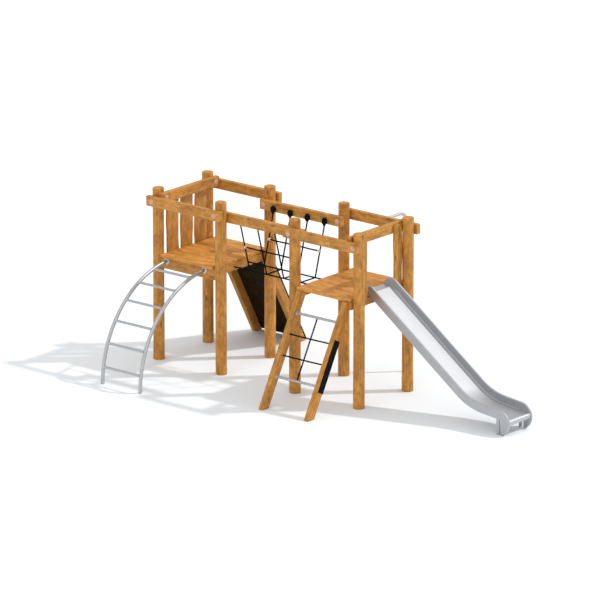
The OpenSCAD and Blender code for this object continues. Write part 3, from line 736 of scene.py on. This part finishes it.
# %% Make the arch climber
ARCH_R, ARCH_Y, ARCH_TUBE, RUNG = 1.358, 0.050, 0.048, 0.034
FIRST_RUNG, RUNG_ANGLE = 9.5, 13.1
arch_x = [0.172, 0.810]
beam_face = -BEAM_T / 2
arch_top = math.acos((ARCH_Y - beam_face + 0.005) / ARCH_R)


def arch_point(x, angle):
    """Point on the arch at an angle above the ground."""
    return np.stack([np.full_like(angle, x), ARCH_Y - ARCH_R * np.cos(angle),
                     ARCH_R * np.sin(angle)], -1)


def weld_collar(a, b, radius, swell=0.005, reach=0.007):
    """Straight tube whose radius grows by swell x e^(-distance from the end / reach)."""
    path = line(a, b, 0.004)
    from_end = np.minimum(np.linalg.norm(path - a, axis=1), np.linalg.norm(path - b, axis=1))
    return sweep(path, Z, radius + swell * np.exp(-from_end / reach), 28)


angles = np.linspace(0, arch_top, 150)
for node, x in zip(["arch_tube_left", "arch_tube_right"], arch_x):
    make_piece("bent_" + node, [sweep(arch_point(x, angles), X, ARCH_TUBE / 2, 36)], galvanised,
               [node])
rungs = []
for k in range(6):
    angle = np.array([math.radians(FIRST_RUNG + RUNG_ANGLE * k)])
    a, b = arch_point(arch_x[0], angle)[0], arch_point(arch_x[1], angle)[0]
    rungs.append(weld_collar(a + X * 0.021, b - X * 0.021, RUNG / 2))
make_piece("welded_rungs", rungs, galvanised, ["arch_rungs"])
flange = [(0.001, -0.0005), (0.041, -0.0005), (0.042, 0.001), (0.042, 0.0055), (0.0405, 0.007),
          (0.028, 0.0072), (0.0262, 0.0085), (0.0250, 0.012), (0.0246, 0.016)]
flange_z = math.sqrt(ARCH_R ** 2 - (ARCH_Y - beam_face) ** 2)
plates = [part for x in arch_x
          for part in wall_plate(flange, x, beam_face, flange_z, -1, 0.0335, 0.007)]
make_piece("arch_wall_plates", plates, alloy, ["arch_flanges"])

# %% [markdown]
# The climbing wall and the rope ladder lean on the towers at the same angle. Their stringers are
# bars whose rings stay level. The wall's panel is one wide, thin bar on top of its stringers.

# %% Make the leaning frames
LEAN = math.radians(28.6)
DEEP = 0.120 / math.cos(LEAN)
PANEL = 0.020 / math.cos(LEAN)
STRINGER_X, STRINGER_W = 0.375, 0.070


def reach(z):
    """Distance from the post axes to the near edge of a stringer at a height."""
    return 0.740 - math.tan(LEAN) * z


def leaning(x, y, side, seed, z0=0.0, off=0.0, deep=DEEP, wide=STRINGER_W, radius=0.010):
    """Bar with level rings from height z0 to the deck; off moves it away from the near edge."""
    def spot(z):
        return (x, y + side * (reach(z) + off + deep / 2), z)
    return bar(spot(z0), spot(PLANK_Z), X, Y, wide, deep, radius, seed)


for use, middle_x, y, side, stain, slot, seed in (
        ("wall", mid_a, post_y[1], 1, timber_deep, "wood_dark", 61),
        ("ladder", mid_b, post_y[0], -1, timber, "wood_light", 63)):
    for k, hand in enumerate(("left", "right")):
        x = middle_x + (2 * k - 1) * STRINGER_X
        make_piece(f"leaning_{use}_{hand}", [leaning(x, y, side, seed + k)], stain,
                   [f"{use}_stringer_{hand}"])
make_piece("climbing_panel", [leaning(mid_a, post_y[1], 1, 65, 0.020, DEEP, PANEL,
                                      2 * STRINGER_X + STRINGER_W, 0.004)], panel_black,
           ["wall_panel"])

# %% [markdown]
# A climbing hold is a lump of resin with finger edges. The surface is a squashed half ball whose
# radius swells and sinks with the angle, so each hold is a different shape from one formula.

# %% Make the climbing holds
def hold_skin(place, normal, size, seed):
    """Rings of r = R cos(h)^0.7 (1 + 0.14 sin(2t + a) + 0.08 sin(3t + b)), with height H sin(h)."""
    h = np.concatenate([[-0.02], np.linspace(0, 0.97, 9)]) * np.pi / 2
    t = np.linspace(0, 2 * np.pi, 36, endpoint=False)
    hh, tt = np.meshgrid(h, t, indexing="ij")
    swell = 1 + 0.14 * np.sin(2 * tt + seed) + 0.08 * np.sin(3 * tt + 2.3 * seed)
    r = size / 2 * np.cos(np.clip(hh, 0, None)) ** 0.7 * swell / 1.2
    lip = 0.007 * np.sin(tt + seed) * np.sin(hh) ** 2
    height = 0.038 * np.sin(hh) + lip
    across = np.cross(normal, X)
    return skin(np.array(place) + r[..., None] * (np.cos(tt)[..., None] * X
                + np.sin(tt)[..., None] * across) + height[..., None] * normal)


wall_normal = np.array([0, math.cos(LEAN), math.sin(LEAN)])
holds = []
for row in range(5):
    for column in range(2):
        z = 0.230 + row * 0.245
        x = mid_a - 0.215 + column * 0.330 + (row % 2) * 0.100
        face = (x, post_y[1] + reach(z) + DEEP + PANEL, z)
        size = 0.096 - 0.012 * ((row + column) % 2)
        holds.append(hold_skin(face, wall_normal, size, row * 2 + column + 0.7))
make_piece("resin_holds", holds, resin, ["wall_holds"])

# %% [markdown]
# The rope bridge hangs from eight egg-shaped hangers on the inner faces of the bridge rails.
# Two ropes to walk on run from deck to deck, four ropes cross between them, and on each side the
# hanging ropes carry a hand rope that ends in alloy tees.

# %% Lay out the rope bridge
HANG_STEP, HANGER_OUT, HANGER_DROP, WALK_HALF = 0.286, 0.026, 0.088, 0.144
WALK_Z, HAND_Z, HANG_Z = 1.350, 1.685, BRIDGE_RAIL - HANGER_DROP
hang_x = [(post_x[1] + post_x[2]) / 2 + k * HANG_STEP for k in (-1.5, -0.5, 0.5, 1.5)]
walk_y = [mid_y - WALK_HALF, mid_y + WALK_HALF]
hang_y = [OUTER + HANGER_OUT, post_y[1] - SEAT - RAIL_T - HANGER_OUT]


def hanging_at(x, i, z):
    """Point of a hanging rope at a height, on its straight line from hanger to foot rope."""
    share = (HANG_Z - z) / (HANG_Z - WALK_Z)
    return np.array([x, hang_y[i] + (walk_y[i] - hang_y[i]) * share, z])


print("hanging ropes at x:", [round(x, 3) for x in hang_x])

# %% Make the bridge's ropes
for i, side in enumerate(["front", "back"]):
    ropes = [laid_rope(line(hanging_at(x, i, WALK_Z), hanging_at(x, i, HANG_Z + 0.01)), X)
             for x in hang_x]
    make_piece("hanging_ropes_" + side, ropes, rope_black, ["net_hanging_" + side])
    y = hanging_at(0, i, HAND_Z)[1]
    ropes = [laid_rope(line((a, y, HAND_Z), (b, y, HAND_Z), sag=0.004), Z)
             for a, b in zip(hang_x[:-1], hang_x[1:])]
    make_piece("hand_rope_" + side, ropes, rope_black, ["net_hand_" + side])
    foot = laid_rope(line((post_x[1] - SEAT, walk_y[i], WALK_Z),
                          (post_x[2] + SEAT, walk_y[i], WALK_Z)), Z)
    make_piece("foot_rope_" + side, [foot], rope_black, ["net_walk_" + side])
ropes = [laid_rope(line((x, walk_y[0], WALK_Z), (x, walk_y[1], WALK_Z)), Z) for x in hang_x]
make_piece("cross_ropes", ropes, rope_black, ["net_cross_ropes"])

# %% Make the hangers and tees
egg = [(0.001, -0.088), (0.0110, -0.088), (0.0128, -0.085), (0.0140, -0.077), (0.0200, -0.068),
       (0.0280, -0.056), (0.0335, -0.043), (0.0358, -0.028), (0.0352, -0.013), (0.0315, 0.001),
       (0.0250, 0.013), (0.0165, 0.0215), (0.0080, 0.0252), (0.001, 0.0258)]
for i, side in enumerate(["front", "back"]):
    eggs = [turned(egg, (x, hang_y[i], BRIDGE_RAIL), Z, 36) for x in hang_x]
    make_piece("rope_hangers_" + side, eggs, rubber, ["net_hangers_" + side])


def sleeve(a, b, radius):
    """Short tube with rounded ends and a slightly fuller middle."""
    a, b = np.array(a, float), np.array(b, float)
    length = np.linalg.norm(b - a)
    h = np.array([0, 0, 0.03, 0.12, 0.5, 0.88, 0.97, 1, 1]) * length
    r = radius * np.array([0.55, 0.84, 0.95, 1, 1.04, 1, 0.95, 0.84, 0.55])
    return turned(np.stack([r, h], -1), a, b - a, 32)


tees = []
for i in (0, 1):
    for x, way in ((hang_x[0], 1), (hang_x[3], -1)):
        y = hanging_at(x, i, HAND_Z)[1]
        tees.append(sleeve(hanging_at(x, i, HAND_Z - 0.017), hanging_at(x, i, HAND_Z + 0.017),
                           0.0155))
        tees.append(sleeve((x, y, HAND_Z), (x + way * 0.033, y, HAND_Z), 0.0140))
make_piece("rope_tees", tees, alloy, ["net_clamps"])

# %% [markdown]
# The ladder on the second tower has a steel rung at its top and bottom, each with collars against
# the stringers, and two ropes between them. One more rope runs up its middle, and a flat cover
# hides the rope ends on each side.

# %% Make the rope ladder's rungs and ropes
def ladder_point(x, z):
    return np.array([x, -(reach(z) + DEEP / 2), z])


COLLAR = [(0.001, 0.0002), (0.0282, 0.0002), (0.029, 0.001), (0.029, 0.005), (0.0280, 0.006),
          (0.0200, 0.0062), (0.0185, 0.0072), (0.0175, 0.0095)]
across = STRINGER_X - 0.025
inner_face = STRINGER_X - STRINGER_W / 2
ladder_z = [0.390 + 0.250 * k for k in range(4)]


def ladder_span(z, **how):
    """Line from one stringer to the other at a height."""
    return line(ladder_point(mid_b - across, z), ladder_point(mid_b + across, z), **how)


rungs = []
for z in (ladder_z[0], ladder_z[3]):
    rungs.append(sweep(ladder_span(z, spacing=0.02), Z, RUNG / 2, 32))
    for side in (-1, 1):
        rungs.append(turned(COLLAR, ladder_point(mid_b + side * inner_face, z), -side * X, 40))
make_piece("ladder_steel_rungs", rungs, galvanised, ["ladder_rungs"])
ropes = [laid_rope(ladder_span(z, sag=0.003), Z) for z in ladder_z[1:3]]
make_piece("ladder_cross_ropes", ropes, rope_black, ["ladder_ropes"])
climb = laid_rope(line(ladder_point(mid_b, ladder_z[0]), ladder_point(mid_b, ladder_z[3])), X)
make_piece("ladder_climb_rope", [climb], rope_black, ["ladder_middle_rope"])
lean_way = np.array([0, math.sin(LEAN), math.cos(LEAN)])
covers = []
for side in (-1, 1):
    centre = ladder_point(mid_b + side * (STRINGER_X + 0.040), 0.640) - [0, 0, 0.010]
    square = np.cross(lean_way, X)
    covers.append(bar(centre - lean_way * 0.35, centre + lean_way * 0.35, X, square, 0.010,
                      0.104, 0.0035, 71, 0.0))
make_piece("rope_end_covers", covers, rubber, ["ladder_covers"])

# %% [markdown]
# The slide is folded from stainless sheet. Its side view is one line: a hump at the top, a
# straight slope, a wide curve, a short run-out and a round nose. The line is built from arcs that
# meet smoothly, and everything else is a distance below it.

# %% Work out the slide's line
SLOPE, RUNOUT = math.radians(36), math.radians(6)
hump = np.array([post_x[3] - 0.052, DECK - 0.005])
HUMP_R, NOSE_R, CURVE_R, ROLL_R = 0.126, 0.172, 0.735, 0.040
nose = np.array([post_x[3] + 2.070, 0.155])
slope_n = np.array([math.sin(SLOPE), math.cos(SLOPE)])
runout_n = np.array([math.sin(RUNOUT), math.cos(RUNOUT)])
curve = np.linalg.solve(np.array([slope_n, runout_n]),
                        np.array([hump @ slope_n + HUMP_R + CURVE_R,
                                  nose @ runout_n + NOSE_R + CURVE_R]))
BED_DROP, CHEEK_W, SLIDE_W, SHEET = 0.105, 0.030, 0.484, 0.003
roll = nose + [0.115, -0.012] + (NOSE_R - BED_DROP - ROLL_R) * runout_n
slide_y = mid_y - SLIDE_W / 2


def arc(centre, radius, start, end, count):
    """Points and outward normals on a circle from one angle to another, in degrees."""
    t = np.radians(np.linspace(start, end, count))
    way = np.stack([np.cos(t), np.sin(t)], -1)
    return centre + radius * way, way


def joined(*runs):
    """Runs of (points, normals) put end to end."""
    return np.concatenate([r[0] for r in runs]), np.concatenate([r[1] for r in runs])


def even(points, normals, count):
    """The same line with points spread evenly along its length."""
    d = np.concatenate([[0], np.cumsum(np.linalg.norm(np.diff(points, axis=0), axis=1))])
    s = np.linspace(0, d[-1], count)
    place = np.stack([np.interp(s, d, points[:, k]) for k in (0, 1)], -1)
    way = np.stack([np.interp(s, d, normals[:, k]) for k in (0, 1)], -1)
    return place, way / np.linalg.norm(way, axis=1)[:, None]


def turned_in(run):
    """An arc seen from inside: its normals point to its centre."""
    return run[0], -run[1]


slope_deg, runout_deg = math.degrees(SLOPE), math.degrees(RUNOUT)
wide_curve = turned_in(arc(curve, CURVE_R, 270 - slope_deg, 270 - runout_deg, 40))
print("curve centre:", curve.round(3), "roll centre:", roll.round(3))

# %% [markdown]
# The bed is a sheet with a shallow cove along each side, where it turns up to meet the cheek. Its
# cross-section is a height for each place across, zero in the flat middle and a circle's rise near
# the edges. The cove fades out at the deck and at the rolled end.

# %% Make the slide's bed
def bed_skin():
    """Rings go along the slide. Each ring runs across the top face and back under the sheet."""
    drop = HUMP_R - BED_DROP
    curved = (wide_curve[0] + BED_DROP * -wide_curve[1], wide_curve[1])
    lip = np.stack([np.linspace(hump[0] - 0.118, hump[0], 10)[:-1],
                    np.full(9, hump[1] + drop)], -1)
    flat = (lip, np.tile([0.0, 1.0], (9, 1)))
    points, normals = joined(flat, arc(hump, drop, 90, 90 - slope_deg, 12), curved,
                             arc(roll, ROLL_R, 90 - runout_deg, -90, 28))
    count = 420
    points, normals = even(points, normals, count)
    travelled = np.linspace(0, 1, count)
    fade = np.clip((travelled - 0.035) / 0.05, 0, 1) * np.clip((0.925 - travelled) / 0.03, 0, 1)
    half = SLIDE_W / 2 - CHEEK_W
    cove = 0.046
    a = np.linspace(0, 0.75, 9)
    side = half - cove + cove * np.sin(a) / math.sin(a[-1])
    rise = cove * (1 - np.cos(a))
    y = np.concatenate([-side[::-1], np.linspace(-half + cove, half - cove, 12)[1:-1], side])
    h = np.concatenate([rise[::-1], np.zeros(10), rise])
    top = fade[:, None] * h[None]
    y_ring = np.concatenate([y, y[::-1]])
    depth = np.concatenate([top, top[:, ::-1] - SHEET], 1)
    place = points[:, None] + normals[:, None] * depth[..., None]
    rings = np.stack([place[..., 0], np.broadcast_to(mid_y + y_ring, depth.shape),
                      place[..., 1]], -1)
    return skin(rings)


make_piece("slide_sheet_bed", [bed_skin()], polished, ["slide_bed"], 50)

# %% [markdown]
# A cheek is a folded strip: an outer and an inner face with a rounded top. Both faces hang between
# the slide's top line and a lower line, and at the foot the lower line drops to the ground so that
# the plate stands on it. Straight blends between the two lines fill each face.

# %% Make the slide's cheeks and legs
PLATE = 0.122


def cheek_skin(y0):
    """Rings along the slide; each goes up the outer face, over a half-round top and down."""
    first = 180 - math.degrees(math.asin(0.006 / HUMP_R))
    last = -math.degrees(math.asin(nose[1] / NOSE_R))
    top, normals = joined(arc(hump, HUMP_R, first, 90 - slope_deg, 40), wide_curve,
                          arc(nose, NOSE_R, 90 - runout_deg, last, 60))
    count = 460
    top, normals = even(top, normals, count)
    low_run = nose + (NOSE_R - PLATE) * runout_n
    foot = nose[0] + 0.040
    lower = np.concatenate([
        [[hump[0] - 0.1255, DECK + 0.001], [hump[0] - 0.002, DECK + 0.001]],
        arc(hump, HUMP_R - PLATE, 90, 90 - slope_deg, 4)[0][1:],
        wide_curve[0] - PLATE * wide_curve[1],
        [low_run, [foot, low_run[1]], [foot, 0.001]]])
    cut = int(count * 0.865)
    d = np.concatenate([[0], np.cumsum(np.linalg.norm(np.diff(lower, axis=0), axis=1))])
    flat_part = np.searchsorted(d, d[-1] - (foot - low_run[0]) - low_run[1])
    s = np.concatenate([np.linspace(0, d[flat_part], cut),
                        np.linspace(d[flat_part], d[-1], count + 1 - cut)[1:]])
    low = np.stack([np.interp(s, d, lower[:, k]) for k in (0, 1)], -1)
    round_t = np.linspace(-np.pi / 2, np.pi / 2, 9)
    r = CHEEK_W / 2
    over = top[:, None] - normals[:, None] * (r * (1 - np.cos(round_t)))[None, :, None]
    y_over = y0 + r + r * np.sin(round_t)
    blend = np.linspace(0, 1, 6)[:-1, None]
    up_face = low[:, None] + (over[:, :1] - low[:, None]) * blend
    down_face = up_face[:, ::-1]
    place = np.concatenate([up_face, over, down_face], 1)
    y = np.concatenate([np.full(5, y0), y_over, np.full(5, y0 + CHEEK_W)])
    rings = np.stack([place[..., 0], np.broadcast_to(y, place.shape[:2]), place[..., 1]], -1)
    return skin(rings)


LEG_W, LEG_BACK = 0.045, 0.035
leg_x = nose[0] - LEG_BACK + LEG_W / 2
leg_top = (nose + (NOSE_R - PLATE) * runout_n)[1]
legs = []
for hand, y0 in (("left", slide_y), ("right", slide_y + SLIDE_W - CHEEK_W)):
    make_piece("folded_slide_cheek_" + hand, [cheek_skin(y0)], stainless,
               ["slide_cheek_" + hand], 50)
    y = y0 + CHEEK_W / 2
    legs.append(bar((leg_x, y, 0), (leg_x, y, leg_top), X, Y, LEG_W, CHEEK_W - 0.001, 0.003, 81,
                    0.0))
make_piece("slide_feet", legs, stainless, ["slide_legs"])

# %% [markdown]
# The fireman's pole is one bent tube: a level arm from the back rail, a quarter bend and a long
# upright. Its path is those three runs put together.

# %% Make the fireman's pole
POLE, BEND, POLE_Z = 0.042, 0.170, TOWER_RAIL + 0.005
pole_y = post_y[1] + 0.641
start_y = post_y[1] + OUTER + 0.006
t = np.linspace(0, np.pi / 2, 26)[1:-1]
arm = line((mid_b, start_y, POLE_Z), (mid_b, pole_y - BEND, POLE_Z), 0.03)
elbow = np.stack([np.full(len(t), mid_b), pole_y - BEND + BEND * np.sin(t),
                  POLE_Z - BEND + BEND * np.cos(t)], -1)
upright = line((mid_b, pole_y, POLE_Z - BEND), (mid_b, pole_y, 0), 0.05)
make_piece("bent_pole", [sweep(np.concatenate([arm, elbow, upright]), X, POLE / 2, 36)],
           galvanised, ["pole_tube"])
plate = [(0.001, -0.0005), (0.044, -0.0005), (0.045, 0.001), (0.045, 0.0065), (0.0435, 0.008),
         (0.025, 0.0082), (0.0232, 0.0095), (0.0220, 0.013), (0.0216, 0.016)]
make_piece("pole_wall_plate",
           wall_plate(plate, mid_b, post_y[1] + OUTER, POLE_Z, 1, 0.0355, 0.008),
           galvanised, ["pole_flange"])

# %% [markdown]
# The floor is a wide pale sheet that belongs to the studio, not to the unit.

# %% Lay the floor
floor_mesh = bpy.data.meshes.new("studio_floor")
corners = np.array([(-1, -1), (1, -1), (1, 1), (-1, 1)]) * 60
floor_mesh.from_pydata([(x, y, -0.001) for x, y in corners], [], [[0, 1, 2, 3]])
pale = Finish("pale_floor")
pale.wire(pale.shader, {"Base Color": (0.890, 0.925, 0.945, 1), "Roughness": 0.9,
                        "Specular IOR Level": 0.1})
floor_mesh.materials.append(pale.material)
floor = bpy.data.objects.new("studio_floor", floor_mesh)
scene.collection.objects.link(floor)
print("floor laid")

# %% Finish
print("scene built")
